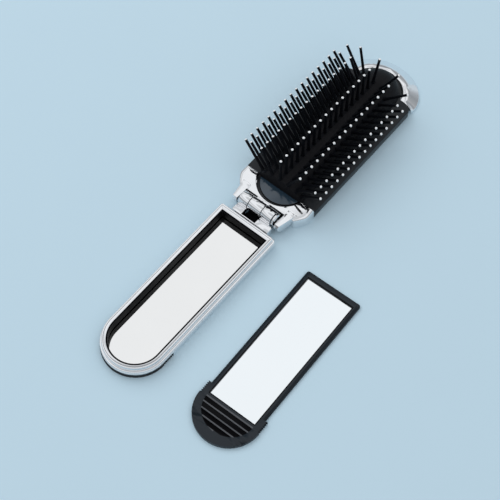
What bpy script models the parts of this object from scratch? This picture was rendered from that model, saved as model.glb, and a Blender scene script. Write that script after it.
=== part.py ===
"""A folding pocket hairbrush with a mirror handle, lying open, and a spare mirror tray beside it.

Metres, +Z up. The brush lies on its back along Y, with the head towards +Y. The origin is the
middle of the hinge leaf's flat underside. Every solid is one closed body.
"""
import math

import bmesh
import bpy
from mathutils import Matrix

MM = 0.001
QUARTER = math.pi / 2
HALF_TURN = math.pi
FULL_TURN = 2 * math.pi

# Clearances
seat_gap = 0.3 * MM
slide_gap = 0.25 * MM
film_gap = 0.1 * MM
tool_margin = 2.0 * MM
empty_size = 10.0 * MM

# Hinge
leaf_depth = 3.1 * MM
leaf_height = 4.6 * MM
leaf_half_width = 9.0 * MM
leaf_floor = 1.2 * MM
slot_setback = 0.4 * MM
web_step = 0.4 * MM
barrel_radius = 3.0 * MM
barrel_gap = 0.35 * MM
axis_height = 5.4 * MM
pin_radius = 0.8 * MM
first_knuckle_width = 4.4 * MM
middle_knuckle_width = 6.2 * MM
cap_width = 1.8 * MM
cap_step = 0.2 * MM
ear_tip_half_width = 11.6 * MM
ear_rise_share = 0.6
bore_floor = 0.8 * MM

# Handle
handle_width = 27.5 * MM
handle_length = 80.8 * MM
handle_height = 6.4 * MM
corner_radius = 1.6 * MM
least_corner = 0.15 * MM
shell_wall = 0.8 * MM
edge_break = 0.25 * MM
rim_width = 2.45 * MM
rim_depth = 1.1 * MM
shoulder_width = 1.85 * MM
shoulder_drop = 2.2 * MM
end_rim_share = 1.2
rail_thickness = 0.5 * MM
rail_reach = 0.85 * MM
lip_width = 0.3 * MM
lip_drop = 0.7 * MM

# Mirror tray
tray_thickness = 1.6 * MM
tray_lift = 0.2 * MM
tray_end_clearance = 0.3 * MM
tray_corner = 0.9 * MM
tongue_width = 0.9 * MM
grip_overhang = 0.15 * MM
tooth_count = 6
tooth_run = 5.3 * MM
tooth_depth = 0.75 * MM
glass_thickness = 0.5 * MM
glass_sink = 0.5 * MM
frame_wall = 1.25 * MM
window_side = 2.15 * MM
window_setback = 2.85 * MM
window_stop = 1.8 * MM
groove_side = 3.1 * MM
groove_end = 4.2 * MM
groove_pitch_share = 0.2526
groove_width_share = 0.2
groove_depth = 0.4 * MM
groove_count = 4

# The spare tray's place
spare_x = 43.4 * MM
spare_setback = 0.6 * MM
spare_turn = math.radians(1.6)

# Head
head_half_width = 17.4 * MM
neck_half_width = 12.9 * MM
neck_gap = 0.85 * MM
neck_length = 8.8 * MM
neck_height = 6.6 * MM
neck_edge = 2.2 * MM
neck_edge_share = 0.3
neck_lip = 0.4 * MM
flare_lead = 2.4 * MM
flare_length = 8.0 * MM
rim_slope_width = 5.4 * MM
rim_foot = 0.9 * MM
rim_overrun = 1.8 * MM
far_end_depth = 14.2 * MM
plate_thickness = 1.2 * MM
skirt_inset = 0.1 * MM
skirt_overrun = 3.5 * MM
skirt_wall = 1.0 * MM
skirt_lift = 0.5 * MM
skirt_corner = 2.6 * MM
base_top = 5.0 * MM
base_edge_drop = 0.8 * MM
base_thickness = 1.1 * MM
tongue_radius = 10.2 * MM
tongue_groove = 1.3 * MM
tongue_step = 0.8 * MM
dome_margin = 0.5 * MM

# Arched pad and pins
pad_overhang = 0.8 * MM
pad_length = 62.1 * MM
pad_half_width = 11.0 * MM
pad_rise = 7.0 * MM
pad_wall = 1.7 * MM
strip_width = 1.7 * MM
strip_thickness = 0.8 * MM
strip_margin = 1.3 * MM
pin_pitch = 3.555 * MM
pin_setback = 0.5 * MM
pin_overrun = 0.6 * MM
fan_half_width = 19.9 * MM
fan_height = 24.5 * MM
end_lean = 3.2 * MM
fan_skew_share = 0.07
row_base_shares = (-0.9, -0.7, -0.38, 0, 0.38, 0.7, 0.9)
row_tip_shares = (-1, -0.85, -0.51, 0, 0.51, 0.85, 0.99)
row_height_shares = (0.71, 0.76, 0.947, 1, 0.947, 0.76, 0.71)
row_phase_shares = (0.42, 0.42, 0, 0, 0, 0.42, 0.42)
row_lean_shares = (0, 0.5, 1, 1, 1, 1, 0)
row_short_counts = (1, 0, 0, 0, 0, 1, 2)
pin_sides = 4
root_radius = 0.8 * MM
stem_radius = 0.58 * MM
stem_tip_radius = 0.48 * MM
root_height = 0.9 * MM
ball_radius = 0.68 * MM

# Worked out from the sizes above; a run is a distance from the handle's hinge end towards the head
handle_end = -leaf_depth / 2 - seat_gap
axis_run = seat_gap + leaf_depth + barrel_gap + barrel_radius
axis_y = handle_end + axis_run
last_knuckle_width = (2 * leaf_half_width - first_knuckle_width - middle_knuckle_width - cap_width
                      - 2 * seat_gap)
half_width = handle_width / 2
round_centre = handle_end - handle_length + half_width
tray_top_z = tray_lift + tray_thickness
tray_half_width = half_width - shell_wall - seat_gap
end_wall = shell_wall * end_rim_share
tray_start = handle_end - end_wall - tray_end_clearance
tray_shoulder = round_centre + tooth_run
grip_half_width = half_width + grip_overhang
glass_top = tray_top_z - glass_sink
glass_bottom = glass_top - glass_thickness
liner_floor = tray_top_z + slide_gap
liner_inset = rim_width + seat_gap + lip_width
spare_y = handle_end - spare_setback
ear_inner = leaf_half_width + 2 * seat_gap
ear_reach = barrel_radius + seat_gap
neck_start = axis_run + barrel_radius + neck_gap
neck_end = neck_start + neck_length
rim_seat = base_top - base_thickness - seat_gap
rim_crest = base_top - seat_gap
skirt_half_width = head_half_width - skirt_inset
skirt_start = neck_end + seat_gap
tongue_centre = neck_start + neck_lip + tongue_radius + tongue_groove + seat_gap
pad_start = skirt_start - pad_overhang
pad_dome_start = pad_start + pad_length
pad_floor = base_top + seat_gap
skirt_end = pad_dome_start + skirt_overrun
head_side_end = skirt_end + rim_overrun
head_length = head_side_end + far_end_depth

colours = {
    "chrome": ((0.86, 0.87, 0.88), 0.06, 1.0),
    "steel": ((0.62, 0.63, 0.65), 0.2, 1.0),
    "black_gloss": ((0.014, 0.015, 0.018), 0.18, 0.0),
    "black_satin": ((0.022, 0.023, 0.026), 0.42, 0.0),
    "black_rubber": ((0.018, 0.018, 0.02), 0.6, 0.0),
    "mirror": ((0.92, 0.93, 0.94), 0.02, 1.0),
}


def clear_scene():
    for obj in list(bpy.data.objects):
        bpy.data.objects.remove(obj, do_unlink=True)


def surface(name, finish):
    """A node's own material, in one of the named finishes."""
    colour, roughness, metallic = colours[finish]
    made = bpy.data.materials.new(name)
    made.use_nodes = True
    shader = made.node_tree.nodes["Principled BSDF"]
    shader.inputs["Base Color"].default_value = (*colour, 1.0)
    shader.inputs["Roughness"].default_value = roughness
    shader.inputs["Metallic"].default_value = metallic
    made.diffuse_color = (*colour, 1.0)
    return made


def body_empty(name, place):
    """An empty on a moving body's axis, which its pieces hang from."""
    empty = bpy.data.objects.new(name, None)
    empty.location = place
    empty.empty_display_size = empty_size
    bpy.context.collection.objects.link(empty)
    return empty


def solid(name, loops, ring=False):
    """A closed body through loops of points, capped at both ends or joined round as a ring."""
    mesh = bmesh.new()
    rows = [[mesh.verts.new(point) for point in loop] for loop in loops]
    pairs = list(zip(rows, rows[1:])) + ([(rows[-1], rows[0])] if ring else [])
    for low, high in pairs:
        for i in range(len(low)):
            j = (i + 1) % len(low)
            mesh.faces.new((low[i], low[j], high[j], high[i]))
    if not ring:
        mesh.faces.new(rows[0][::-1])
        mesh.faces.new(rows[-1])
    bmesh.ops.recalc_face_normals(mesh, faces=mesh.faces)
    data = bpy.data.meshes.new(name)
    mesh.to_mesh(data)
    mesh.free()
    obj = bpy.data.objects.new(name, data)
    bpy.context.collection.objects.link(obj)
    return obj


def prism(name, outline, low, high):
    """An outline in plan, raised from low to high."""
    return solid(name, [[(x, y, z) for x, y in outline] for z in (low, high)])


def disc(name, run, radius, low, high):
    """A flat round disc on the brush's centre line."""
    return prism(name, arc(0, from_end(run), radius, 0, FULL_TURN, 48)[:-1], low, high)


def block(name, low, high):
    outline = [(low[0], low[1]), (high[0], low[1]), (high[0], high[1]), (low[0], high[1])]
    return prism(name, outline, low[2], high[2])


def barrel(name, start, end, radius, sides=32):
    """A cylinder about the hinge axis, from start to end along X."""
    loops = []
    for x in (start, end):
        loops.append([(x, axis_y + radius * math.cos(a), axis_height + radius * math.sin(a))
                      for a in steps(0, FULL_TURN, sides)[:-1]])
    return solid(name, loops)


def combine(target, tool, operation):
    """Applies a Boolean with tool to target, and removes tool."""
    modifier = target.modifiers.new(operation.lower(), "BOOLEAN")
    modifier.operation = operation
    modifier.solver = "EXACT"
    modifier.object = tool
    bpy.context.view_layer.update()
    shaped = target.evaluated_get(bpy.context.evaluated_depsgraph_get())
    data = bpy.data.meshes.new_from_object(shaped)
    target.modifiers.clear()
    target.data = data
    bpy.data.objects.remove(tool, do_unlink=True)
    return target


def join(target, *tools):
    for tool in tools:
        combine(target, tool, "UNION")
    return target


def cut(target, *tools):
    for tool in tools:
        combine(target, tool, "DIFFERENCE")
    return target


def node(obj, name, finish, body):
    """Names a finished piece, gives it its own material and hangs it on its body."""
    obj.name = name
    obj.data.name = name
    obj.data.materials.clear()
    obj.data.materials.append(surface(name, finish))
    obj.data.shade_smooth()
    obj.data.set_sharp_from_angle(angle=math.radians(32))
    obj.parent = body
    obj.matrix_parent_inverse = body.matrix_world.inverted()
    return obj


def steps(start, end, count):
    return [start + (end - start) * i / count for i in range(count + 1)]


def arc(centre_x, centre_y, radius, start, end, count):
    return [(centre_x + radius * math.cos(a), centre_y + radius * math.sin(a))
            for a in steps(start, end, count)]


def from_end(run):
    """The Y of a point at a run from the handle's end."""
    return handle_end + run


def mirrored(right):
    """A closed outline from its right side, whose points run from front to back."""
    return right + [(-x, y) for x, y in reversed(right) if x > 0]


def tongue(inset, start, corner=corner_radius):
    """The handle's plan drawn in by inset: a square end at start and a half round end."""
    half = half_width - inset
    radius = max(corner - inset, least_corner)
    points = arc(half - radius, start - radius, radius, 0, QUARTER, 4)
    points += arc(radius - half, start - radius, radius, QUARTER, HALF_TURN, 4)
    return points + arc(0, round_centre, half, HALF_TURN, FULL_TURN, 28)


def tongue_ring(name, profile):
    """A ring round the handle's plan, whose section is a list of (inset, height).

    It is wider across the hinge end than along the sides."""
    loops = [[(x, y, z) for x, y in tongue(inset, handle_end - inset * end_rim_share)] for inset, z in profile]
    return solid(name, loops, ring=True)


def handle_shell(body):
    """The chrome frame: a wall with a rounded shoulder and rim, and rails that carry the tray."""
    rim_floor = handle_height - rim_depth
    inner_round = rim_width - shoulder_width
    profile = [(edge_break, 0), (0, edge_break)]
    profile += [(shoulder_width * (1 - math.cos(a)), handle_height - shoulder_drop * (1 - math.sin(a)))
                for a in steps(0, QUARTER, 7)]
    profile += [(shoulder_width + inner_round * math.sin(a), handle_height - inner_round * (1 - math.cos(a)))
                for a in steps(0, QUARTER, 3)[1:]]
    profile += [(rim_width, rim_floor), (shell_wall, rim_floor), (shell_wall, rail_thickness),
                (shell_wall + rail_reach, rail_thickness), (shell_wall + rail_reach, 0)]
    shell = tongue_ring("shell", profile)
    inside = half_width - shell_wall
    shoulder = tray_shoulder + seat_gap
    cut(shell,
        block("tray_mouth", (-half_width - tool_margin, round_centre - half_width - tool_margin, -tool_margin),
              (half_width + tool_margin, shoulder, liner_floor)),
        block("end_rail", (-inside, handle_end - end_wall - rail_reach - tool_margin, -tool_margin),
              (inside, handle_end - end_wall, rail_thickness + seat_gap)))
    return node(shell, "handle_shell", "chrome", body)


def recess_liner(body):
    """The black wall of the recess, which shows as a fine lip inside the chrome rim."""
    outer = shell_wall + seat_gap
    shoulder = handle_height - rim_depth - seat_gap
    lip = rim_width + seat_gap
    profile = [(outer, liner_floor), (outer, shoulder), (lip, shoulder), (lip, handle_height - lip_drop),
               (liner_inset, handle_height - lip_drop), (liner_inset, liner_floor)]
    return node(tongue_ring("liner", profile), "recess_liner", "black_gloss", body)


def knuckle_stack():
    """The hinge's pieces along X as {name: (start, end)}, with a gap between neighbours."""
    widths = (("first", first_knuckle_width), ("middle", middle_knuckle_width),
              ("last", last_knuckle_width), ("cap", cap_width))
    spans = {}
    x = -leaf_half_width
    for name, width in widths:
        spans[name] = (x, x + width)
        x += width + seat_gap
    return spans


def knuckle(name, span, reach_y, top):
    """One barrel with the web that joins it to its leaf at reach_y, below top."""
    web = block("web", (span[0], min(axis_y, reach_y), axis_height - barrel_radius),
                (span[1], max(axis_y, reach_y), top))
    return join(barrel(name, *span, barrel_radius), web)


def hinge_leaf(body):
    """The handle's half of the hinge: a block with two knuckles and room for the third."""
    spans = knuckle_stack()
    back = leaf_depth / 2
    leaf = block("leaf", (-leaf_half_width, -back, 0), (leaf_half_width, back, leaf_height))
    join(leaf, *(knuckle(name, spans[name], back - seat_gap, leaf_height - web_step)
                 for name in ("first", "last")))
    start, end = spans["middle"]
    cut(leaf,
        block("slot", (start - seat_gap, slot_setback - back, leaf_floor),
              (end + seat_gap, back + tool_margin, leaf_height + tool_margin)),
        barrel("bore", -leaf_half_width - tool_margin, leaf_half_width + tool_margin,
               pin_radius + seat_gap, 24))
    return node(leaf, "hinge_leaf", "chrome", body)


def hinge_pin(body):
    reach = ear_half_width(axis_run) - bore_floor - seat_gap
    return node(barrel("pin", -reach, reach, pin_radius, 24), "hinge_pin", "steel", body)


def hinge_cap(body):
    """The bored end cap between the last knuckle and the right ear."""
    span = knuckle_stack()["cap"]
    cap = barrel("cap", *span, barrel_radius - cap_step)
    cut(cap, barrel("bore", span[0] - tool_margin, span[1] + tool_margin, pin_radius + seat_gap, 24))
    return node(cap, "hinge_cap", "chrome", body)


def tray_outline(half, start):
    """The tray in plan: a straight body, toothed shoulders and a half round grip."""
    pitch = tooth_run / tooth_count
    right = []
    for i in range(tooth_count):
        y = round_centre + pitch * i
        right += [(grip_half_width, y), (grip_half_width - tooth_depth, y + pitch / 2)]
    right += [(grip_half_width, tray_shoulder), (half, tray_shoulder)]
    right += arc(half - tray_corner, start - tray_corner, tray_corner, 0, QUARTER, 4)
    left = [(-x, y) for x, y in reversed(right)]
    end = arc(0, round_centre, grip_half_width, HALF_TURN, FULL_TURN, 28)
    return right + left + end[1:-1]


def grip_groove(index):
    """One of the grip's cross grooves, cut off by the round of the grip's field."""
    half = grip_half_width - groove_side
    depth = grip_half_width - groove_end
    start = groove_pitch_share * depth * index
    right = []
    for run in steps(start, start + groove_width_share * depth, 3):
        share = max(1 - (run / depth) ** 2, 0)
        right.append((half * math.sqrt(share), round_centre - run))
    outline = right + [(-x, y) for x, y in reversed(right)]
    return prism("groove", outline, -tool_margin, tray_lift + groove_depth)


def tray_frame():
    """The tray's black frame, at home under the handle, with its grip facing down."""
    step_z = rail_thickness + slide_gap
    frame = join(prism("upper", tray_outline(tray_half_width, tray_start), step_z, tray_top_z),
                 prism("lower", tray_outline(tray_half_width - tongue_width, tray_start - tongue_width),
                       tray_lift, step_z + film_gap))
    pocket_inset = half_width - tray_half_width + frame_wall
    pocket = prism("pocket", tongue(pocket_inset, tray_start - frame_wall), glass_bottom - film_gap,
                   tray_top_z + tool_margin)
    window = block("window", (window_side - tray_half_width, round_centre + window_stop, -tool_margin),
                   (tray_half_width - window_side, tray_start - window_setback, glass_bottom))
    return cut(frame, pocket, window, *(grip_groove(i) for i in range(groove_count)))


def tray_glass():
    """The two-sided mirror plate in the tray's pocket."""
    inset = half_width - tray_half_width + frame_wall + film_gap
    return prism("glass", tongue(inset, tray_start - frame_wall - film_gap), glass_bottom, glass_top)


def mirror_tray(body):
    node(tray_frame(), "tray_frame", "black_satin", body)
    node(tray_glass(), "tray_mirror", "mirror", body)


def spare_tray(body):
    """A second tray, turned over and lying on the table beside the brush."""
    turned_over = Matrix.Rotation(HALF_TURN, 4, "Y")
    to_home = Matrix.Translation((0, -tray_start, -tray_top_z))
    place = Matrix.Translation((spare_x, spare_y, 0)) @ Matrix.Rotation(spare_turn, 4, "Z")
    for piece, name, finish in ((tray_frame(), "spare_tray_frame", "black_satin"),
                                (tray_glass(), "spare_tray_mirror", "mirror")):
        piece.data.transform(place @ turned_over @ to_home)
        node(piece, name, finish, body)


def flare(run):
    """The neck's half width at a run from the handle's end."""
    share = min(max((run - neck_start + flare_lead) / flare_length, 0), 1)
    return neck_half_width + (head_half_width - neck_half_width) * share * share * (3 - 2 * share)


def head_outline(start, end, inset=0, end_inset=0):
    """The head's plan from start on: the flared neck, straight sides and an elliptical far end."""
    first = start + end_inset
    flare_end = neck_start - flare_lead + flare_length
    right = [(flare(run) - inset, from_end(run)) for run in steps(first, flare_end, 10)]
    if end <= neck_end:
        return mirrored(right + [(head_half_width - inset, from_end(end) - end_inset)])
    far = []
    for a in steps(0, QUARTER, 14):
        reach = (far_end_depth - inset) * math.sin(a)
        far.append(((head_half_width - inset) * math.cos(a), from_end(head_side_end) + reach))
    return mirrored(right + far)


def soft_slab(name, start, end, height, edge, drop, end_share):
    """The head's plan between start and end, raised to height.

    Its top edge falls away by drop over a width of edge."""
    levels = [(edge_break, 0), (0, edge_break)]
    levels += [(edge * (1 - math.cos(a)), height - drop * (1 - math.sin(a))) for a in steps(0, QUARTER, 6)]
    return solid(name, [[(x, y, z) for x, y in head_outline(start, end, inset, inset * end_share)]
                        for inset, z in levels])


def ear_half_width(run):
    """How far out the ears stand at a run from the handle's end: they taper to their tips."""
    tip = axis_run - ear_reach
    share = (run - tip) / (neck_start - tip)
    return ear_tip_half_width + (neck_half_width - ear_tip_half_width) * share


def neck_ear(name, side):
    """One of the neck's two ears, which hold the ends of the hinge pin."""
    root = neck_start + neck_edge
    start = HALF_TURN - math.asin(ear_rise_share)
    profile = [(root, axis_height - ear_reach), (root, axis_height + ear_reach * ear_rise_share)]
    profile += [(axis_run + ear_reach * math.cos(a), axis_height + ear_reach * math.sin(a))
                for a in steps(start, HALF_TURN + QUARTER, 8)]
    inner = [(side * ear_inner, from_end(run), z) for run, z in profile]
    outer = [(side * ear_half_width(run), from_end(run), z) for run, z in profile]
    return solid(name, [inner, outer])


def head_shell(body):
    """The chrome back of the head in one piece with its neck, ears and middle knuckle."""
    shell = soft_slab("shell", neck_start, head_length, rim_crest, rim_slope_width, rim_crest - rim_foot,
                      neck_edge_share)
    neck = soft_slab("neck", neck_start, neck_end, neck_height, neck_edge, neck_edge, neck_edge_share)
    middle = knuckle("middle", knuckle_stack()["middle"], from_end(neck_start) + neck_edge, axis_height)
    join(shell, neck, middle, neck_ear("right_ear", 1), neck_ear("left_ear", -1))
    side = skirt_half_width - skirt_wall - seat_gap
    wide = head_half_width + tool_margin
    for sign in (1, -1):
        low, high = sorted((sign * side, sign * wide))
        cut(shell, block("side", (low, from_end(neck_end), -tool_margin),
                         (high, from_end(skirt_end + seat_gap), neck_height)))
    pin_reach = ear_half_width(axis_run) - bore_floor
    cut(shell,
        block("hollow", (-side - seat_gap, from_end(neck_end), plate_thickness),
              (side + seat_gap, from_end(skirt_end + seat_gap), neck_height)),
        disc("tongue_pocket", tongue_centre, tongue_radius + tongue_groove + seat_gap, rim_seat,
             neck_height + tool_margin),
        disc("dome_pocket", pad_dome_start, pad_half_width + 2 * seat_gap + dome_margin, rim_seat,
             neck_height + tool_margin),
        barrel("bore", -pin_reach, pin_reach, pin_radius + seat_gap, 24))
    return node(shell, "head_shell", "chrome", body)


def pad_base(body):
    """The black plate under the pad, with its tongue, its sloping flanges and its side walls."""
    inside = pad_half_width + seat_gap
    slope = skirt_half_width - inside
    sections = []
    for d in (skirt_start, skirt_end):
        y = from_end(d)
        edge = base_top - base_edge_drop
        sections.append([(-skirt_half_width, y, skirt_lift), (-skirt_half_width, y, edge),
                         (-inside, y, base_top), (inside, y, base_top), (skirt_half_width, y, edge),
                         (skirt_half_width, y, skirt_lift)])
    base = solid("base", sections)
    inner_wall = skirt_half_width - skirt_wall
    hollow_top = base_top - base_thickness - base_edge_drop * skirt_wall / slope
    hollow = [(-inner_wall, hollow_top - base_edge_drop), (-inside, hollow_top), (inside, hollow_top),
              (inner_wall, hollow_top - base_edge_drop), (inner_wall, -tool_margin), (-inner_wall, -tool_margin)]
    loops = [[(x, from_end(d), z) for x, z in hollow]
             for d in (skirt_start + skirt_wall, skirt_end - skirt_wall)]
    underside = base_top - base_thickness
    join(base,
         disc("flange", tongue_centre, tongue_radius + tongue_groove, underside, base_top - tongue_step),
         disc("tongue", tongue_centre, tongue_radius, underside, base_top),
         disc("dome", pad_dome_start, inside + dome_margin, underside, base_top))
    cut(base, solid("hollow", loops),
        block("plate_seat", (-inner_wall, from_end(skirt_start - tool_margin), -tool_margin),
              (inner_wall, from_end(skirt_end + tool_margin), plate_thickness + seat_gap)),
        far_corner(1), far_corner(-1))
    return node(base, "pad_base", "black_gloss", body)


def far_corner(sign):
    """What rounds one far corner of the pad base."""
    centre_x = skirt_half_width - skirt_corner
    centre_y = from_end(skirt_end) - skirt_corner
    outline = arc(centre_x, centre_y, skirt_corner, 0, QUARTER, 6)
    outline += [(centre_x, centre_y + skirt_corner + tool_margin),
                (centre_x + skirt_corner + tool_margin, centre_y + skirt_corner + tool_margin),
                (centre_x + skirt_corner + tool_margin, centre_y)]
    return prism("corner", [(sign * x, y) for x, y in outline], -tool_margin, neck_height)


def arch_height(x, rise, half):
    """How far a circular arch of that rise and half width stands above its springing at x."""
    radius = (half * half + rise * rise) / (2 * rise)
    return math.sqrt(max(radius * radius - x * x, 0)) - (radius - rise)


def arch(name, start, half, rise, floor):
    """The pad's arched bar with its rounded far end, on a flat floor."""
    rows = [(from_end(start), 1.0), (from_end(pad_dome_start), 1.0)]
    for a in steps(0, QUARTER, 6)[1:-1] + [QUARTER * 0.94]:
        rows.append((from_end(pad_dome_start) + half * math.sin(a), math.cos(a)))
    loops = []
    for y, share in rows:
        top = [(half * share * math.sin(a), y, floor + share * arch_height(half * math.sin(a), rise, half))
               for a in steps(QUARTER, -QUARTER, 20)]
        loops.append(top)
    return solid(name, loops)


def row_pins(row):
    """The pins of one row as [(root, tip)], from the hinge to the far end."""
    base_x = row_base_shares[row] * pad_half_width
    tip_x = row_tip_shares[row] * fan_half_width
    tip_z = row_height_shares[row] * fan_height
    z = surface_frame(base_x)[0]
    first = pad_start + pin_setback + row_phase_shares[row] * pin_pitch
    count = math.floor((pad_dome_start + pin_overrun - first) / pin_pitch) + 1 - row_short_counts[row]
    pins = []
    for i in range(count):
        y = from_end(first) + pin_pitch * i
        lean = end_lean * row_lean_shares[row] if i == count - 1 else 0
        pins.append(((base_x, y, z), (tip_x, y + lean - fan_skew_share * tip_x, tip_z)))
    return pins


def surface_frame(base_x):
    """The pad's surface height at base_x and the unit normal there, as (z, normal x, normal z)."""
    radius = (pad_half_width ** 2 + pad_rise ** 2) / (2 * pad_rise)
    share = base_x / radius
    return pad_floor + arch_height(base_x, pad_rise, pad_half_width), share, math.sqrt(1 - share * share)


def strip_bar(name, row, play=0, above=0):
    """A row's strip of backing, square to the pad's surface, or its channel when play is given."""
    pins = row_pins(row)
    base_x = pins[0][0][0]
    z, nx, nz = surface_frame(base_x)
    half = strip_width / 2 + play
    depth = strip_thickness + play
    corners = []
    for side, up in ((-half, -depth), (half, -depth), (half, above), (-half, above)):
        corners.append((base_x + nz * side + nx * up, z - nx * side + nz * up))
    start = from_end(pad_start) - above
    end = pins[-1][0][1] + strip_margin + play
    return solid(name, [[(x, y, height) for x, height in corners] for y in (start, end)])


def pin_mesh(mesh, root, tip):
    """Adds one tapered pin with a round tip to a bmesh."""
    axis = [t - r for t, r in zip(tip, root)]
    length = math.sqrt(sum(a * a for a in axis))
    axis = [a / length for a in axis]
    side = (axis[2], 0, -axis[0])
    size = math.sqrt(side[0] ** 2 + side[2] ** 2)
    side = [s / size for s in side]
    other = [axis[1] * side[2] - axis[2] * side[1], axis[2] * side[0] - axis[0] * side[2],
             axis[0] * side[1] - axis[1] * side[0]]
    neck = length - ball_radius * 0.85
    levels = [(-strip_thickness / 2, root_radius), (seat_gap, root_radius), (root_height, stem_radius),
              (neck, stem_tip_radius), (length, ball_radius), (length + ball_radius * 0.75, ball_radius * 0.62)]
    rings = []
    for along, radius in levels:
        ring = []
        for a in steps(0, FULL_TURN, pin_sides)[:-1]:
            ring.append(mesh.verts.new([r + u * along + radius * (s * math.cos(a) + o * math.sin(a))
                                        for r, u, s, o in zip(root, axis, side, other)]))
        rings.append(ring)
    for low, high in zip(rings, rings[1:]):
        for i in range(pin_sides):
            j = (i + 1) % pin_sides
            mesh.faces.new((low[i], low[j], high[j], high[i]))
    mesh.faces.new(rings[0][::-1])
    top = mesh.verts.new([r + u * (length + ball_radius) for r, u in zip(root, axis)])
    for i in range(pin_sides):
        mesh.faces.new((rings[-1][i], rings[-1][(i + 1) % pin_sides], top))


def pin_row(body, row):
    """One row of pins, moulded in one with the strip that holds them in the pad."""
    mesh = bmesh.new()
    for root, tip in row_pins(row):
        pin_mesh(mesh, root, tip)
    bmesh.ops.recalc_face_normals(mesh, faces=mesh.faces)
    data = bpy.data.meshes.new("pins")
    mesh.to_mesh(data)
    mesh.free()
    pins = bpy.data.objects.new("pins", data)
    bpy.context.collection.objects.link(pins)
    return node(join(strip_bar("strip", row), pins), f"pin_row_{row + 1}", "black_satin", body)


def rubber_pad(body):
    """The hollow arched pad, with a channel for each row's strip."""
    pad = arch("pad", pad_start, pad_half_width, pad_rise, pad_floor)
    hollow = arch("hollow", pad_start + pad_wall, pad_half_width - pad_wall, pad_rise - pad_wall,
                  pad_floor - seat_gap)
    cut(pad, hollow)
    for row in range(len(row_base_shares)):
        cut(pad, strip_bar("channel", row, film_gap, tool_margin))
    return node(pad, "rubber_pad", "black_rubber", body)


def main():
    clear_scene()
    handle = body_empty("handle_body", (0, 0, 0))
    tray = body_empty("tray_slide", (0, tray_start, tray_lift))
    head = body_empty("head_hinge", (0, axis_y, axis_height))
    spare = body_empty("spare_tray_place", (spare_x, spare_y, 0))
    bpy.context.view_layer.update()
    handle_shell(handle)
    recess_liner(handle)
    hinge_leaf(handle)
    hinge_pin(handle)
    hinge_cap(handle)
    mirror_tray(tray)
    spare_tray(spare)
    head_shell(head)
    pad_base(head)
    rubber_pad(head)
    for row in range(len(row_base_shares)):
        pin_row(head, row)


main()
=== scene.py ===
"""Looks of the folding pocket hairbrush and its spare mirror tray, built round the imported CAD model."""

import math

import bmesh
import bpy
from mathutils import Matrix, Vector


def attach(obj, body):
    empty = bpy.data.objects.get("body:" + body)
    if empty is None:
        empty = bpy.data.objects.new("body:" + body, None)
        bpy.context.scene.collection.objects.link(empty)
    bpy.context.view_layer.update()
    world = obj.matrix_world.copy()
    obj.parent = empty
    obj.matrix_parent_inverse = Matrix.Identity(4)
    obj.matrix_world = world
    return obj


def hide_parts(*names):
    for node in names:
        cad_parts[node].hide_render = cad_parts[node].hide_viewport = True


MM = 0.001
QUARTER = math.pi / 2
HALF_TURN = math.pi
FULL_TURN = 2 * math.pi
ACROSS = (1, 0, 0)
ALONG = (0, 1, 0)

# Camera, stage and light
CAMERA_AZIMUTH = math.radians(39.5)
CAMERA_ELEVATION = math.radians(60.5)
CAMERA_DISTANCE = 0.5707
CAMERA_AIM = Vector((0.00696, -0.00970, 0))
CAMERA_LENS = 104.36
SENSOR = 36.0
NEAREST, FARTHEST = 0.05, 20
FLOOR_SIZE = 3.0
FLOOR_COLOUR = (0.605, 0.785, 0.893)
FLOOR_SHADE = 0.985
KEY_PLACE = (-0.75, 0.15, 0.85)
KEY_SIZE = (0.9, 0.9)
KEY_POWER = 2.85
# The sky's colours by height, from the horizon at 0 to overhead at 1
SKY = (
    (0.0, (0.55, 0.64, 0.70)),
    (0.08, (0.60, 0.67, 0.72)),
    (0.17, (0.40, 0.43, 0.46)),
    (0.30, (0.29, 0.31, 0.33)),
    (0.45, (0.37, 0.385, 0.40)),
    (0.56, (0.80, 0.815, 0.83)),
    (0.64, (0.90, 0.92, 0.94)),
    (0.70, (0.66, 0.675, 0.695)),
    (0.76, (0.62, 0.635, 0.655)),
    (0.82, (0.91, 0.93, 0.95)),
    (0.93, (0.90, 0.92, 0.94)),
    (0.965, (0.64, 0.655, 0.675)),
    (1.0, (0.60, 0.615, 0.635)),
)

# Tolerances for the meshes taken from the CAD
WELD = 0.002 * MM
TINY = 0.06 * MM
SHORT = 0.2 * MM
SPLIT_LEAST, SPLIT_REACH = 4 * SHORT, 1.5 * SHORT
NEAR = 0.05 * MM
FLAT_ANGLE = math.radians(0.6)
EDGE_ANGLE = math.radians(30)

# How far the edges are rounded over
LEAF_BEVEL = 0.12 * MM
CHROME_BEVEL = 0.35 * MM
BASE_BEVEL = 0.15 * MM
TRAY_BEVEL = 0.2 * MM

# Pad
HANDLE_END = -1.85 * MM
PAD_START = HANDLE_END + 18.9 * MM
PAD_LENGTH = 62.1 * MM
PAD_DOME = PAD_START + PAD_LENGTH
PAD_HALF = 11.0 * MM
PAD_RISE = 7.0 * MM
PAD_RADIUS = (PAD_HALF ** 2 + PAD_RISE ** 2) / (2 * PAD_RISE)
PAD_FLOOR = 5.3 * MM
PAD_NOSE = ((0, 0.965), (0.15 * MM, 0.99), (0.45 * MM, 1.0))
PAD_STEPS, DOME_STEPS, ARCH_STEPS = 24, 15, 40
DOME_SHARE = 0.985

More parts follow.
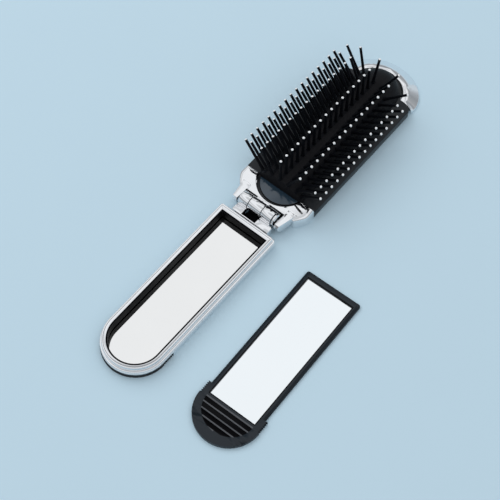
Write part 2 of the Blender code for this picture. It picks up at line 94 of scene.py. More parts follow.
# Pins: their rows are shares of the pad's half width, of the fan's half width and of its height
PIN_PITCH = 3.555 * MM
PIN_SETBACK = 0.5 * MM
PIN_OVERRUN = 0.6 * MM
FAN_HALF = 19.9 * MM
FAN_HEIGHT = 24.5 * MM
FAN_SKEW = 0.07
END_LEAN = 3.2 * MM
BASE_SHARES = (-0.9, -0.7, -0.38, 0, 0.38, 0.7, 0.9)
TIP_SHARES = (-1, -0.85, -0.51, 0, 0.51, 0.85, 0.99)
HEIGHT_SHARES = (0.71, 0.76, 0.947, 1, 0.947, 0.76, 0.71)
PHASE_SHARES = (0.42, 0.42, 0, 0, 0, 0.42, 0.42)
LEAN_SHARES = (0, 0.5, 1, 1, 1, 1, 0)
SHORT_COUNTS = (1, 0, 0, 0, 0, 1, 2)
ROOT_RADIUS = 0.8 * MM
ROOT_FLARE = ((-0.4 * MM, 1.15), (0.1 * MM, 1.1), (0.45 * MM, 0.85))
ROOT_HEIGHT = 0.9 * MM
STEM_START = 1.6 * MM
STEM_RADIUS = 0.64 * MM
STEM_FOOT_SHARE = 1.05
STEM_TIP_RADIUS = 0.55 * MM
BALL_RADIUS = 0.6 * MM
BALL_SEAT = 0.95
BALL_STEPS = 7
BALL_CLOSE = 0.93
WHITE_FROM = math.radians(12)
PIN_SIDES = 12

# The strips that hold the pins
STRIP_HALF = 0.85 * MM
STRIP_MARGIN = 1.3 * MM
STRIP_DEPTH = 0.7 * MM
STRIP_CROWN = 0.16 * MM
STRIP_SHOULDER = 0.8
STRIP_STARTS = ((0.1 * MM, 0.9), (0.35 * MM, 1.0))
STRIP_ENDS = ((-0.4 * MM, 1.0), (0, 0.7))

# The handle's frame
HALF_WIDTH = 13.75 * MM
ROUND_CENTRE = HANDLE_END - 80.8 * MM + HALF_WIDTH
CORNER = 1.6 * MM
LEAST_CORNER = 0.15 * MM
CORNER_STEPS, END_STEPS = 8, 72
RIM_TOP = 6.4 * MM
RIM_FLOOR = 5.3 * MM
RIM_WIDTH = 2.45 * MM
CREST_INSET = 1.1 * MM
CREST_HALF = 0.42 * MM
CREST_STEPS = 16
LEDGE_TOP = 4.25 * MM
LEDGE_ROUND = 0.3 * MM
LEDGE_LIFT = 0.03 * MM
LEDGE_FILLET = 0.1 * MM
LINE_LOW, LINE_HIGH = 3.05 * MM, 3.4 * MM
LINE_DEPTH = 0.14 * MM
SLOPE_START, SLOPE_END = 1.6 * MM, 2.3 * MM
SLOPE_TOP, SLOPE_LOW = 6.12 * MM, 5.8 * MM
SLOPE_LIP = 0.06 * MM
ROUND_STEPS = 6
END_SHARE = 1.2
SHELL_WALL = 0.8 * MM
END_WALL = SHELL_WALL * END_SHARE
RAIL_HEIGHT = 0.5 * MM
RAIL_REACH = 0.85 * MM
RAIL_CLEARANCE = 0.3 * MM
EDGE_BREAK = 0.25 * MM
MOUTH_TOP = 2.05 * MM
MOUTH_END = -63.3 * MM
TOOL_MARGIN = 2.0 * MM

# Trays, in the handle's tray place: the grip side faces down and the grip lies towards -Y
TRAY_START = HANDLE_END - END_WALL - 0.3 * MM
TRAY_TOP = 1.8 * MM
TRAY_LIFT = 0.2 * MM
TRAY_HALF = HALF_WIDTH - SHELL_WALL - 0.3 * MM
TRAY_TONGUE = 0.9 * MM
# Where the step's rounded edge takes a painted highlight
STEP_MARGIN = 0.4 * MM
STEP_TOP = TRAY_LIFT + 0.2 * MM
STEP_NORMALS = (0.3, 0.95)
WINDOW_HALF = TRAY_HALF - 2.15 * MM
WINDOW_FRONT = ROUND_CENTRE + 1.8 * MM
WINDOW_BACK = TRAY_START - 2.85 * MM
# The black ring round each tray's mirror, painted shade where the frame meets the mirror
SHADE_RING_WIDTH = 0.4 * MM
SHADE_RING_PROUD = 0.01 * MM
SHADE_RING_DEPTH = 0.3 * MM
GRIP_START = ROUND_CENTRE + 5.3 * MM
GRIP_HALF = 13.9 * MM
FIELD_HALF = GRIP_HALF - 3.1 * MM
FIELD_DEPTH = GRIP_HALF - 4.2 * MM
GROOVE_FLOOR = TRAY_LIFT + 0.4 * MM
GROOVE_PITCH = 0.2526 * FIELD_DEPTH
GROOVE_WIDTH = 0.2 * FIELD_DEPTH
GROOVE_COUNT = 4
SPARE_PLACE = (Matrix.Translation((43.4 * MM, HANDLE_END - 0.6 * MM, 0))
               @ Matrix.Rotation(math.radians(1.6), 4, "Z"))
TURNED_HOME = (Matrix.Translation((0, TRAY_START, TRAY_TOP)) @ Matrix.Rotation(HALF_TURN, 4, "Y")
               @ SPARE_PLACE.inverted())

# Hinge
AXIS_Y = 4.9 * MM
AXIS_Z = 5.4 * MM
CAP_FACE = 9.0 * MM
CAP_CUT = 0.45 * MM
LEAF_BACK = 1.4 * MM
SLOT_START, SLOT_END = -4.6 * MM, 2.2 * MM
SLOT_FRONT = -1.15 * MM
# The dark floor under the middle knuckle and the dark paint inside the slot are painted shade, within these
# bounds
SLOT_FLOOR_LOW, SLOT_FLOOR_HIGH = 0.3 * MM, 1.1 * MM
SLOT_SIDE = 0.1 * MM
SLOT_LIP = 0.2 * MM
SLOT_SHADE_TOP = 4.45 * MM

# Head
NECK_START = 8.75 * MM
NECK_END = 17.3 * MM
NECK_TOP = 6.6 * MM
NECK_LEVEL = 5.4 * MM
NECK_FALL = 1.0 * MM
NECK_OVERRUN = 1.05
# Bounds of the painted shade on the neck's front wall and the ears' inner faces
NECK_SHADE_TOP = 5.2 * MM
NECK_SPLITS = [NECK_START + 0.2 * MM + i * MM for i in range(9)]
EAR_INNER = 9.6 * MM
EAR_MARGIN = 0.3 * MM
EAR_FACING = -0.8
NECK_MARGIN = 0.5 * MM
NECK_FACING = -0.7
FAR_START = 84.3 * MM
FAR_FOOT = 0.9 * MM
FAR_CREST = 4.7 * MM
# Bounds of the tongue's painted reflection, the painted highlight on its edge and the painted shade in its
# groove
TONGUE_Y = 20.95 * MM
TONGUE_RADIUS = 10.2 * MM
TONGUE_EDGE = 0.16 * MM
TONGUE_END = PAD_START + 0.3 * MM
BASE_TOP = 5.0 * MM
BASE_SKIN = 0.02 * MM
BASE_ROUND = 0.15 * MM


# ---------------------------------------------------------------- materials

class Finish:
    """A node material, and the steps that build it in object space."""

    def __init__(self, name):
        self.material = bpy.data.materials.new(name)
        self.material.use_nodes = True
        tree = self.material.node_tree
        self.shader = tree.nodes["Principled BSDF"]
        self.new_node = tree.nodes.new
        self.link = tree.links.new
        self.coords = self.new_node("ShaderNodeTexCoord").outputs["Object"]

    def node(self, kind, **inputs):
        """A new node with its inputs set by name."""
        made = self.new_node(kind)
        for name, value in inputs.items():
            made.inputs[name.replace("_", " ")].default_value = value
        return made

    def constant(self, **values):
        """Sets sockets of the shader that are the same all over the surface."""
        for name, value in values.items():
            self.shader.inputs[name.replace("_", " ")].default_value = value

    def noise(self, scale, detail, roughness=0.55, stretch=None):
        """A noise texture, stretched along an axis where asked."""
        texture = self.node("ShaderNodeTexNoise", Scale=scale, Detail=detail, Roughness=roughness)
        source = self.coords
        if stretch:
            mapping = self.node("ShaderNodeMapping", Scale=stretch)
            self.link(source, mapping.inputs["Vector"])
            source = mapping.outputs["Vector"]
        self.link(source, texture.inputs["Vector"])
        return texture.outputs["Fac"]

    def colour(self, value, dark, light):
        """Colours the surface from dark to light by value."""
        blend = self.new_node("ShaderNodeMix")
        blend.data_type = "RGBA"
        blend.inputs["A"].default_value = (*dark, 1)
        blend.inputs["B"].default_value = (*light, 1)
        self.link(value, blend.inputs["Factor"])
        self.link(blend.outputs["Result"], self.shader.inputs["Base Color"])

    def roughness(self, value, low, high, start=0.35, end=0.65):
        """Maps a texture's range from start to end to a roughness from low to high."""
        ramp = self.node("ShaderNodeMapRange", From_Min=start, From_Max=end, To_Min=low, To_Max=high)
        self.link(value, ramp.inputs["Value"])
        self.link(ramp.outputs["Result"], self.shader.inputs["Roughness"])

    def bump(self, height, strength, distance=0.1 * MM):
        """Roughens the surface with a texture's height."""
        node = self.node("ShaderNodeBump", Strength=strength, Distance=distance)
        self.link(height, node.inputs["Height"])
        self.link(node.outputs["Normal"], self.shader.inputs["Normal"])


def chrome():
    """Bright plating with a light haze, fine scratches and the ripples of the moulding below."""
    finish = Finish("chrome")
    finish.constant(Metallic=1)
    finish.colour(finish.noise(160, 4), (0.84, 0.85, 0.87), (0.93, 0.935, 0.945))
    finish.roughness(finish.noise(900, 5, roughness=0.6, stretch=(1, 0.12, 1)), 0.035, 0.085)
    finish.bump(finish.noise(260, 2), strength=0.08, distance=0.2 * MM)
    return finish.material


def steel():
    """Drawn wire with lines along it."""
    finish = Finish("steel")
    lines = finish.noise(1200, 4, roughness=0.6, stretch=(0.05, 1, 1))
    finish.constant(Metallic=1)
    finish.colour(lines, (0.5, 0.51, 0.53), (0.66, 0.67, 0.69))
    finish.roughness(lines, 0.18, 0.34)
    finish.bump(lines, strength=0.15)
    return finish.material


def black_plastic(name, dark, light, roughness, grain, shine):
    """Moulded black plastic with a fine grain and faint flow marks."""
    finish = Finish(name)
    clouds = finish.noise(70, 4)
    finish.constant(Specular_IOR_Level=shine)
    finish.colour(clouds, dark, light)
    finish.roughness(clouds, *roughness)
    finish.bump(finish.noise(2600, 2), strength=grain)
    return finish.material


def mirror(name, dark, light):
    """Silvered plate with faint smudges."""
    finish = Finish(name)
    smudges = finish.noise(55, 5, roughness=0.6)
    finish.constant(Metallic=1)
    finish.colour(smudges, dark, light)
    finish.roughness(smudges, 0.012, 0.03, start=0.5, end=0.75)
    return finish.material


def rubber():
    """Soft black rubber with a powdery grain."""
    finish = Finish("soft_rubber")
    clouds = finish.noise(90, 5)
    finish.constant(Specular_IOR_Level=0.14)
    finish.colour(clouds, (0.0045, 0.0045, 0.006), (0.0075, 0.0075, 0.009))
    finish.roughness(clouds, 0.5, 0.66)
    finish.bump(finish.noise(3200, 3), strength=0.2)
    return finish.material


def white_tip():
    """The white end of a pin's ball."""
    finish = Finish("white_tip")
    clouds = finish.noise(700, 3)
    finish.colour(clouds, (0.96, 0.965, 0.97), (0.985, 0.985, 0.985))
    finish.roughness(clouds, 0.25, 0.4)
    return finish.material


def floor_paint():
    """The even pale blue of the background."""
    finish = Finish("floor_paint")
    finish.colour(finish.noise(25, 4), [c * FLOOR_SHADE for c in FLOOR_COLOUR], FLOOR_COLOUR)
    finish.constant(Roughness=0.9, Specular_IOR_Level=0.2)
    return finish.material


# ---------------------------------------------------------------- mesh helpers

def link_mesh(name, mesh, materials, sharp=35):
    """Makes an object of a mesh, smooth but for edges sharper than that many degrees."""
    bmesh.ops.recalc_face_normals(mesh, faces=mesh.faces)
    data = bpy.data.meshes.new(name)
    mesh.to_mesh(data)
    mesh.free()
    obj = bpy.data.objects.new(name, data)
    bpy.context.collection.objects.link(obj)
    for material in materials:
        data.materials.append(material)
    data.shade_smooth()
    data.set_sharp_from_angle(angle=math.radians(sharp))
    return obj


def stand_in(obj, body, node):
    """Lets a piece move with a body and stand for a CAD node."""
    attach(obj, body)
    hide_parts(node)
    return obj


def dress(node, material):
    """Gives a CAD node its finish."""
    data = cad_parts[node].data
    data.materials.clear()
    data.materials.append(material)
    for polygon in data.polygons:
        polygon.material_index = 0


def repaint(obj, index, chosen):
    """Gives the faces whose centre and normal are chosen the material at index."""
    for polygon in obj.data.polygons:
        if chosen(polygon.center, polygon.normal):
            polygon.material_index = index


def mesh_of(node, place=Matrix.Identity(4)):
    """A CAD node's mesh, moved by place, welded and with its flat faces whole."""
    mesh = bmesh.new()
    mesh.from_mesh(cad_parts[node].data)
    mesh.transform(place)
    bmesh.ops.remove_doubles(mesh, verts=mesh.verts, dist=WELD)
    bmesh.ops.dissolve_limit(mesh, angle_limit=FLAT_ANGLE, verts=mesh.verts, edges=mesh.edges)
    return mesh


def round_edges(mesh, width, segments, split=False):
    """Rounds the sharp edges that have no very short edge beside them.

    With split, long edges are rounded up to such a place, and faces with many corners become triangles.
    """
    crowded = {v for e in mesh.edges if e.calc_length() < SHORT for v in e.verts}

    def sharp(edge):
        return len(edge.link_faces) == 2 and edge.calc_face_angle() > EDGE_ANGLE

    for edge in [e for e in mesh.edges if split and e.calc_length() > SPLIT_LEAST and sharp(e)]:
        for vertex in [v for v in edge.verts if v in crowded]:
            bmesh.utils.edge_split(edge, vertex, SPLIT_REACH / edge.calc_length())
    edges = [e for e in mesh.edges if sharp(e) and not crowded.intersection(e.verts)]
    bmesh.ops.bevel(mesh, geom=edges, offset=width, segments=segments, profile=0.5, affect="EDGES",
                    clamp_overlap=True)
    if split:
        bmesh.ops.triangulate(mesh, faces=[f for f in mesh.faces if len(f.verts) > 4])
    mesh.normal_update()


def copy_of(node, name, materials, bevel, segments=2):
    """A piece in a CAD node's shape, with its edges rounded over."""
    mesh = mesh_of(node)
    bmesh.ops.dissolve_degenerate(mesh, dist=TINY, edges=mesh.edges)
    round_edges(mesh, bevel, segments)
    for face in mesh.faces:
        face.material_index = 0
    return link_mesh(name, mesh, materials)


def split_faces(mesh, faces, place, normal):
    """Splits faces where the plane at that distance along normal meets them."""
    edges = list(dict.fromkeys(e for f in faces for e in f.edges))
    verts = list(dict.fromkeys(v for f in faces for v in f.verts))
    bmesh.ops.bisect_plane(mesh, geom=faces + edges + verts, plane_co=Vector(normal) * place, plane_no=normal)


def split_piece(obj, places, normal):
    """Splits all of a piece's faces at each distance along normal."""
    mesh = bmesh.new()
    mesh.from_mesh(obj.data)
    for place in places:
        split_faces(mesh, mesh.faces[:], place, normal)
    mesh.to_mesh(obj.data)
    mesh.free()


def box_piece(name, low, high, materials=()):
    """A plain box between two corners: a cutting tool, or a dark floor of painted shade at the bottom of a slot.
    """
    mesh = bmesh.new()
    corners = [mesh.verts.new((x, y, z)) for z in (low[2], high[2])
               for x, y in ((low[0], low[1]), (high[0], low[1]), (high[0], high[1]), (low[0], high[1]))]
    for sides in ((0, 1, 2, 3), (4, 5, 6, 7), (0, 1, 5, 4), (1, 2, 6, 5), (2, 3, 7, 6), (3, 0, 4, 7)):
        mesh.faces.new([corners[i] for i in sides])
    return link_mesh(name, mesh, materials)


def cut_away(obj, *tools):
    """Cuts tools out of a piece and removes them."""
    for tool in tools:
        modifier = obj.modifiers.new("cut", "BOOLEAN")
        modifier.operation = "DIFFERENCE"
        modifier.solver = "EXACT"
        modifier.object = tool
        bpy.context.view_layer.update()
        shaped = obj.evaluated_get(bpy.context.evaluated_depsgraph_get())
        data = bpy.data.meshes.new_from_object(shaped)
        obj.modifiers.clear()
        obj.data = data
        bpy.data.objects.remove(tool, do_unlink=True)
    obj.data.shade_smooth()
    obj.data.set_sharp_from_angle(angle=EDGE_ANGLE)


# ---------------------------------------------------------------- handle

def handle_plan(inset):
    """The handle's plan drawn in by inset, from the hinge end round the far end."""
    half = HALF_WIDTH - inset
    radius = max(CORNER - inset, LEAST_CORNER)
    start = HANDLE_END - inset * END_SHARE
    points = []
    for side in (1, -1):
        for i in range(CORNER_STEPS + 1):
            a = QUARTER * (i / CORNER_STEPS if side > 0 else 1 + i / CORNER_STEPS)
            points.append((side * (half - radius) + radius * math.cos(a), start - radius + radius * math.sin(a)))
    for i in range(END_STEPS + 1):
        a = HALF_TURN + HALF_TURN * i / END_STEPS
        points.append((half * math.cos(a), ROUND_CENTRE + half * math.sin(a)))
    return points


def ring_mesh(name, profile, material):
    """A ring round the handle whose section is [(inset, height)]."""
    mesh = bmesh.new()
    loops = [[mesh.verts.new((x, y, z)) for x, y in handle_plan(inset)] for inset, z in profile]
    for low, high in zip(loops, loops[1:] + loops[:1]):
        for k in range(len(low)):
            j = (k + 1) % len(low)
            mesh.faces.new((low[k], low[j], high[j], high[k]))
    return link_mesh(name, mesh, [material], sharp=30)


def rim_profile():
    """The section of the plated frame: wall with a fine line, ledge, bead, inner slope and rail."""
    profile = [(EDGE_BREAK, 0), (0, EDGE_BREAK), (0, LINE_LOW), (LINE_DEPTH, LINE_LOW + LINE_DEPTH / 2),
               (LINE_DEPTH, LINE_HIGH - LINE_DEPTH / 2), (0, LINE_HIGH)]
    for i in range(ROUND_STEPS + 1):
        a = QUARTER * i / ROUND_STEPS
        profile.append((LEDGE_ROUND * (1 - math.cos(a)), LEDGE_TOP - LEDGE_ROUND * (1 - math.sin(a))))
    riser = CREST_INSET - CREST_HALF
    profile += [(riser - LEDGE_FILLET, LEDGE_TOP + LEDGE_LIFT), (riser, LEDGE_TOP + LEDGE_LIFT + LEDGE_FILLET)]
    for i in range(CREST_STEPS):
        a = HALF_TURN * i / CREST_STEPS
        profile.append((CREST_INSET - CREST_HALF * math.cos(a), RIM_TOP - CREST_HALF * (1 - math.sin(a))))
    profile += [(SLOPE_START - SLOPE_LIP, SLOPE_TOP), (SLOPE_END, SLOPE_LOW)]
    inner_round = RIM_WIDTH - SLOPE_END
    for i in range(1, ROUND_STEPS + 1):
        a = QUARTER * i / ROUND_STEPS
        profile.append((SLOPE_END + inner_round * math.sin(a), SLOPE_LOW - inner_round * (1 - math.cos(a))))
    profile += [(RIM_WIDTH, RIM_FLOOR), (SHELL_WALL, RIM_FLOOR), (SHELL_WALL, RAIL_HEIGHT),
                (SHELL_WALL + RAIL_REACH, RAIL_HEIGHT), (SHELL_WALL + RAIL_REACH, 0)]
    return profile


def handle_frame(metal):
    """The plated frame, open at its far end for the tray's grip and without a rail at the hinge end."""
    obj = ring_mesh("handle_frame", rim_profile(), metal)
    wide = HALF_WIDTH + TOOL_MARGIN
    inside = HALF_WIDTH - SHELL_WALL
    rail_end = HANDLE_END - END_WALL
    cut_away(obj,
             box_piece("cutter", (-wide, ROUND_CENTRE - wide, -TOOL_MARGIN), (wide, MOUTH_END, MOUTH_TOP)),
             box_piece("cutter", (-inside, rail_end - RAIL_REACH - TOOL_MARGIN, -TOOL_MARGIN),
                       (inside, rail_end, RAIL_HEIGHT + RAIL_CLEARANCE)))
    stand_in(obj, "handle", "handle_shell")


# ---------------------------------------------------------------- hinge

def hinge_leaf(metal, dark):
    """The handle's half of the hinge, with painted shade inside its slot."""
    leaf = stand_in(copy_of("hinge_leaf", "leaf", [metal, dark], LEAF_BEVEL), "handle", "hinge_leaf")
    # The slot's inside takes the dark material as painted shade
    repaint(leaf, 1, lambda c, n: SLOT_START - SLOT_SIDE < c.x < SLOT_END + SLOT_SIDE
            and SLOT_FRONT - SLOT_LIP < c.y < AXIS_Y and c.z < SLOT_SHADE_TOP)


def hinge_cap(metal):
    """The cap, with its outer face drawn in so that a dark gap shows between it and the ear."""
    cap = stand_in(copy_of("hinge_cap", "cap", [metal], CHROME_BEVEL, 3), "handle", "hinge_cap")
    for vertex in cap.data.vertices:
        if vertex.co.x > CAP_FACE:
            vertex.co.x -= CAP_CUT


def slot_shade_floor(dark):
    """A dark floor of painted shade that closes the hinge's slot below the middle knuckle."""
    obj = box_piece("slot_shade_floor", (SLOT_START, LEAF_BACK, SLOT_FLOOR_LOW), (SLOT_END, AXIS_Y, SLOT_FLOOR_HIGH),
                    [dark])
    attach(obj, "handle")


# ---------------------------------------------------------------- head

def slope_neck(obj):
    """Lowers the neck's top towards the hinge, as the moulded one falls away."""
    for vertex in obj.data.vertices:
        run = (NECK_END - vertex.co.y) / (NECK_END - NECK_START)
        share = (vertex.co.z - NECK_LEVEL) / (NECK_TOP - NECK_LEVEL)
        if 0 < run < NECK_OVERRUN and share > 0:
            vertex.co.z -= NECK_FALL * run * min(share, 1)


def slope_far_rim(obj):
    """Makes the far rim one even slope, from its crest by the pad to its foot at the edge."""
    for vertex in obj.data.vertices:
        share = (vertex.co.z - FAR_FOOT) / (FAR_CREST - FAR_FOOT)
        if vertex.co.y > FAR_START and 0 < share < 1:
            vertex.co.z = FAR_FOOT + (FAR_CREST - FAR_FOOT) * (1 - math.sqrt(1 - share * share))


def head_shell(metal, dark):
    """The plated back of the head, with painted shade where the hinge's parts stand close together."""
    shell = stand_in(copy_of("head_shell", "shell", [metal, dark], CHROME_BEVEL, 3), "head", "head_shell")
    split_piece(shell, NECK_SPLITS, ALONG)
    split_piece(shell, [-EAR_INNER, EAR_INNER], ACROSS)
    slope_neck(shell)
    slope_far_rim(shell)
    # Painted shade on the ears' inner faces, the neck's front wall and below the middle knuckle
    repaint(shell, 1, lambda c, n: abs(c.x - EAR_INNER) < EAR_MARGIN and n.x < EAR_FACING
            and c.y < NECK_START - EAR_MARGIN)
    repaint(shell, 1, lambda c, n: abs(c.x) < EAR_INNER and abs(c.y - NECK_START) < NECK_MARGIN
            and n.y < NECK_FACING and c.z < NECK_SHADE_TOP)
    repaint(shell, 1, lambda c, n: SLOT_START < c.x < SLOT_END and c.y < AXIS_Y and c.z < AXIS_Z)


def pad_base(slate, painted_reflection_tongue, dark, painted_highlight):
    """The black plate: a glossy tongue, blue-grey as a painted reflection, with a painted highlight along its
    edge, in a groove of painted shade.
    """
    base = stand_in(copy_of("pad_base", "base", [slate, painted_reflection_tongue, dark, painted_highlight], BASE_BEVEL), "head", "pad_base")
    split_piece(base, [TONGUE_END], ALONG)

    def out(c):
        return math.hypot(c.x, c.y - TONGUE_Y) - TONGUE_RADIUS

    # The tongue's top takes the blue-grey painted reflection
    repaint(base, 1, lambda c, n: out(c) < 0 and c.y < TONGUE_END and c.z > BASE_TOP - BASE_SKIN)
    # Its rounded edge takes a painted highlight
    repaint(base, 3, lambda c, n: abs(out(c)) < TONGUE_EDGE and c.y < TONGUE_END
            and BASE_TOP - BASE_ROUND < c.z < BASE_TOP - BASE_SKIN)
    # The groove round it takes painted shade
    repaint(base, 2, lambda c, n: out(c) > -NEAR and c.y < TONGUE_END and c.z < BASE_TOP - BASE_ROUND)


# ---------------------------------------------------------------- trays

def field_reach(run):
    """How far the grip's ribbed field reaches sideways, run past the centre of its round end."""
    return FIELD_HALF * math.sqrt(max(1 - (run / FIELD_DEPTH) ** 2, 0))


def grip_ribs():
    """The ribs between the grip's grooves, as [(start, end)] past the centre of its round end."""
    return [(GROOVE_PITCH * i + GROOVE_WIDTH, GROOVE_PITCH * (i + 1)) for i in (*range(GROOVE_COUNT), -1)]


def split_ribs(mesh, ribs):
    """Splits the tray's grip face along the outlines of its ribs."""
    def on_face(c):
        return abs(c.z - TRAY_LIFT) < NEAR

    for low, high in ribs:
        for run in (low, high):
            faces = [f for f in mesh.faces if on_face(f.calc_center_median())]
            split_faces(mesh, faces, ROUND_CENTRE - run, ALONG)
        middle = ROUND_CENTRE - (low + high) / 2
        for side in (-1, 1):
            centres = [(f, f.calc_center_median()) for f in mesh.faces]
            faces = [f for f, c in centres if on_face(c) and abs(c.y - middle) < (high - low) / 2]
            split_faces(mesh, faces, side * field_reach(high), ACROSS)


def tray_finish(face, ribs):
    """Which of the tray's materials a face takes: 0 satin, 1 painted shade on the grooves' floors, 2 a painted
    highlight on the rib tops and the step's edge.
    """
    c = face.calc_center_median()
    run = ROUND_CENTRE - c.y
    steepness = abs(face.normal.z)
    in_field = GROOVE_WIDTH - GROOVE_PITCH < run < FIELD_DEPTH and abs(c.x) < field_reach(max(run, 0))
    # The grooves' floors take painted shade
    if in_field and abs(c.z - GROOVE_FLOOR) < NEAR:
        return 1
    # The rib tops take a painted highlight
    if in_field and c.z < GROOVE_FLOOR and any(low - NEAR < run < high + NEAR for low, high in ribs):
        return 2
    # The step's rounded edge takes a painted highlight
    on_step = (abs(c.x) > TRAY_HALF - TRAY_TONGUE - STEP_MARGIN or c.y > TRAY_START - TRAY_TONGUE - STEP_MARGIN)
    if on_step and c.y > GRIP_START and c.z < STEP_TOP and STEP_NORMALS[0] < steepness < STEP_NORMALS[1]:
        return 2
    return 0


def tray_holder(node, body, to_home, materials):
    """The tray's frame with painted shade in its grooves and painted highlights on its ribs and step; to_home
    takes it to the handle's tray place.
    """
    mesh = mesh_of(node, to_home)
    ribs = grip_ribs()
    split_ribs(mesh, ribs)
    round_edges(mesh, TRAY_BEVEL, 1, split=True)
    for face in mesh.faces:
        face.material_index = tray_finish(face, ribs)
    mesh.transform(to_home.inverted())
    stand_in(link_mesh(f"{body}_holder", mesh, materials), body, node)


def mirror_shade_ring(name, body, to_home, material):
    """A black ring round the mirror on the tray's grip side, painted shade where the frame meets the mirror."""
    mesh = bmesh.new()
    low, high = TRAY_LIFT - SHADE_RING_PROUD, TRAY_LIFT + SHADE_RING_DEPTH
    loops = []
    for out, z in ((0, high), (0, low), (-SHADE_RING_WIDTH, low), (-SHADE_RING_WIDTH, high)):
        x, front, back = WINDOW_HALF - out, WINDOW_FRONT + out, WINDOW_BACK - out
        loops.append([mesh.verts.new(corner) for corner in
                      ((-x, front, z), (x, front, z), (x, back, z), (-x, back, z))])
    for one, two in zip(loops, loops[1:] + loops[:1]):
        for k in range(4):
            j = (k + 1) % 4
            mesh.faces.new((one[k], one[j], two[j], two[k]))
    mesh.transform(to_home.inverted())
    obj = link_mesh(name, mesh, [material])
    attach(obj, body)


def trays(satin, dark, painted_highlight):
    """The tray at home under the handle and the spare tray beside it, with their mirrors."""
    home = Matrix.Identity(4)
    # Each frame gets painted shade in its grooves and painted highlights on its ribs and step
    tray_holder("tray_frame", "tray", home, [satin, dark, painted_highlight])
    tray_holder("spare_tray_frame", "spare_tray", TURNED_HOME, [satin, dark, painted_highlight])
    mirror_shade_ring("tray_shade_ring", "tray", home, dark)
    mirror_shade_ring("spare_tray_shade_ring", "spare_tray", TURNED_HOME, dark)
    dress("tray_mirror", mirror("mirror_silver", (0.885, 0.88, 0.87), (0.92, 0.915, 0.905)))
    # The spare tray's mirror is the same glass, made brighter and bluer as a painted reflection
    dress("spare_tray_mirror", mirror("mirror_painted_bright", (0.93, 0.965, 0.985), (0.95, 0.985, 1.0)))


# ---------------------------------------------------------------- pins and pad

def arch_height(x):
    """How far the pad's round top stands above its floor at x."""
    return math.sqrt(max(PAD_RADIUS ** 2 - x ** 2, 0)) - (PAD_RADIUS - PAD_RISE)


def row_pins(row):
    """The pins of one row as [(root, tip)], from the hinge to the far end."""
    base_x = BASE_SHARES[row] * PAD_HALF
    tip_x = TIP_SHARES[row] * FAN_HALF
    tip_z = HEIGHT_SHARES[row] * FAN_HEIGHT
    z = PAD_FLOOR + arch_height(base_x)
    first = PAD_START + PIN_SETBACK + PHASE_SHARES[row] * PIN_PITCH
    count = math.floor((PAD_DOME + PIN_OVERRUN - first) / PIN_PITCH) + 1 - SHORT_COUNTS[row]
    pins = []
    for i in range(count):
        y = first + PIN_PITCH * i
        lean = END_LEAN * LEAN_SHARES[row] if i == count - 1 else 0
        pins.append((Vector((base_x, y, z)), Vector((tip_x, y + lean - FAN_SKEW * tip_x, tip_z))))
    return pins


def pin_profile(length):
    """The radius along a pin, as [(along, radius, is_white)]."""
    profile = [(along, ROOT_RADIUS * share, False) for along, share in ROOT_FLARE]
    profile += [(ROOT_HEIGHT, STEM_RADIUS * STEM_FOOT_SHARE, False), (STEM_START, STEM_RADIUS, False),
                (length / 2, (STEM_RADIUS + STEM_TIP_RADIUS) / 2, False),
                (length - BALL_RADIUS * BALL_SEAT, STEM_TIP_RADIUS, False)]
    start = -math.acos(STEM_TIP_RADIUS / BALL_RADIUS)
    for i in range(BALL_STEPS + 1):
        a = start + (QUARTER * BALL_CLOSE - start) * i / BALL_STEPS
        profile.append((length + BALL_RADIUS * math.sin(a), BALL_RADIUS * math.cos(a), a > WHITE_FROM))
    return profile


def add_pin(mesh, root, tip):
    """One round tapered pin with its ball, whose outer part takes the second material."""
    axis = (tip - root).normalized()
    side = axis.cross(Vector(ALONG)).normalized()
    other = axis.cross(side)
    profile = pin_profile((tip - root).length)
    angles = [FULL_TURN * k / PIN_SIDES for k in range(PIN_SIDES)]
    rings = []
    for along, radius, _ in profile:
        rings.append([mesh.verts.new(root + axis * along + (side * math.cos(a) + other * math.sin(a)) * radius)
                      for a in angles])
    for i in range(len(rings) - 1):
        for k in range(PIN_SIDES):
            j = (k + 1) % PIN_SIDES
            face = mesh.faces.new((rings[i][k], rings[i][j], rings[i + 1][j], rings[i + 1][k]))
            face.material_index = int(profile[i][2])
    top = mesh.verts.new(tip + axis * BALL_RADIUS)
    for k in range(PIN_SIDES):
        face = mesh.faces.new((rings[-1][k], rings[-1][(k + 1) % PIN_SIDES], top))
        face.material_index = 1
    mesh.faces.new(rings[0][::-1])


def add_strip(mesh, pins):
    """The strip that holds a row's pins, crowned a little above the pad's surface."""
    base_x, _, z = pins[0][0]
    nx = base_x / PAD_RADIUS
    nz = math.sqrt(1 - nx * nx)
    shoulder, crown = STRIP_HALF * STRIP_SHOULDER, STRIP_CROWN * STRIP_SHOULDER
    section = [(-STRIP_HALF, -STRIP_DEPTH), (-STRIP_HALF, 0), (-shoulder, crown), (0, STRIP_CROWN),
               (shoulder, crown), (STRIP_HALF, 0), (STRIP_HALF, -STRIP_DEPTH)]
    end = pins[-1][0].y + STRIP_MARGIN
    ends = [(PAD_START + y, share) for y, share in STRIP_STARTS] + [(end + y, share) for y, share in STRIP_ENDS]
    rows = []
    for y, share in ends:
        rows.append([mesh.verts.new((base_x + nz * side * share + nx * up, y, z - nx * side * share + nz * up))
                     for side, up in section])
    for low, high in zip(rows, rows[1:]):
        for i in range(len(section)):
            j = (i + 1) % len(section)
            mesh.faces.new((low[i], low[j], high[j], high[i]))
    mesh.faces.new(rows[0][::-1])
    mesh.faces.new(rows[-1])


def pin_row(row, nylon, tips):
    """One row of pins on its strip."""
    mesh = bmesh.new()
    pins = row_pins(row)
    for root, tip in pins:
        add_pin(mesh, root, tip)
    add_strip(mesh, pins)
    stand_in(link_mesh(f"pins_{row + 1}", mesh, [nylon, tips]), "head", f"pin_row_{row + 1}")


